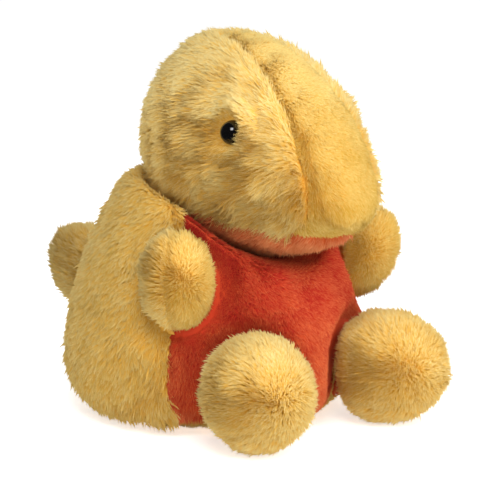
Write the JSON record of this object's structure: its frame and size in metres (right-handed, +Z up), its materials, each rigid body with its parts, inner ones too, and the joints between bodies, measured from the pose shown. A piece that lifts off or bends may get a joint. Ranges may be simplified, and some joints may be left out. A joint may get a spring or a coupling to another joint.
{
  "type": "stuffed dinosaur",
  "caption": "Sitting plush dinosaur toy with a big drooping snout, red belly, paddle arms, round feet and a stub tail, all on soft flexing roots.",
  "frame": {"origin": "middle of the flat seat, on the surface that the toy sits on", "axes": "+Z up, the toy faces -Y, its left side is +X"},
  "size_m": [0.0992, 0.1532, 0.1195],
  "materials": {
    "plush_yellow": "long combed plush pile, golden yellow, paler at the tips",
    "plush_smooth_yellow": "short smooth plush pile, orange yellow",
    "plush_red": "short plush pile, red to orange",
    "plush_chin": "short plush pile, brick orange",
    "fibre_filling": "white polyester fibre filling",
    "bag_cloth": "thin undyed woven bag cloth",
    "beans": "loose plastic beans",
    "eye_black": "polished black plastic dome",
    "washer_plastic": "plain moulded plastic washer"
  },
  "bodies": {
    "body": {"base_panel": "plush_yellow", "belly_panel": "plush_red", "body_side_right": "plush_yellow", "body_side_left": "plush_yellow", "body_stuffing": "fibre_filling", "bean_bag_upper": "bag_cloth", "bean_bag_lower": "bag_cloth", "beans": "beans"},
    "head": {"head_gusset": "plush_smooth_yellow", "chin_panel": "plush_chin", "head_side_right": "plush_yellow", "head_side_left": "plush_yellow", "head_stuffing": "fibre_filling", "eye_right": "eye_black", "eye_left": "eye_black", "eye_washer_right": "washer_plastic", "eye_washer_left": "washer_plastic"},
    "arm_right": {"arm_right_inner": "plush_yellow", "arm_right_outer": "plush_yellow", "arm_right_stuffing": "fibre_filling"},
    "arm_left": {"arm_left_inner": "plush_yellow", "arm_left_outer": "plush_yellow", "arm_left_stuffing": "fibre_filling"},
    "foot_right": {"foot_right_sole": "plush_yellow", "foot_right_upper": "plush_yellow", "foot_right_stuffing": "fibre_filling"},
    "foot_left": {"foot_left_sole": "plush_yellow", "foot_left_upper": "plush_yellow", "foot_left_stuffing": "fibre_filling"},
    "tail": {"tail_right_half": "plush_yellow", "tail_left_half": "plush_yellow", "tail_stuffing": "fibre_filling"}
  },
  "joints": [
    {"name": "head_nod", "type": "hinge", "parent": "body", "child": "head", "pos_m": [0, 0, 0.079], "axis": [1, 0, 0], "range_deg": [-14, 4], "stiffness_Nm_per_rad": 0.3},
    {"name": "arm_right_swing", "type": "hinge", "parent": "body", "child": "arm_right", "pos_m": [-0.03426, -0.02511, 0.048], "axis": [-0.5592, 0.829, 0], "range_deg": [-25, 25], "stiffness_Nm_per_rad": 0.05},
    {"name": "arm_left_swing", "type": "hinge", "parent": "body", "child": "arm_left", "pos_m": [0.03426, -0.02511, 0.048], "axis": [-0.5592, -0.829, 0], "range_deg": [-25, 25], "stiffness_Nm_per_rad": 0.05},
    {"name": "foot_right_flex", "type": "hinge", "parent": "body", "child": "foot_right", "pos_m": [-0.02292, -0.04422, 0.0173], "axis": [-0.8788, 0.4772, 0], "range_deg": [-12, 20], "stiffness_Nm_per_rad": 0.12},
    {"name": "foot_left_flex", "type": "hinge", "parent": "body", "child": "foot_left", "pos_m": [0.02292, -0.04422, 0.0173], "axis": [-0.8788, -0.4772, 0], "range_deg": [-12, 20], "stiffness_Nm_per_rad": 0.12},
    {"name": "tail_flex", "type": "hinge", "parent": "body", "child": "tail", "pos_m": [0, 0.04451, 0.029], "axis": [1, 0, 0], "range_deg": [-20, 25], "stiffness_Nm_per_rad": 0.1}
  ]
}
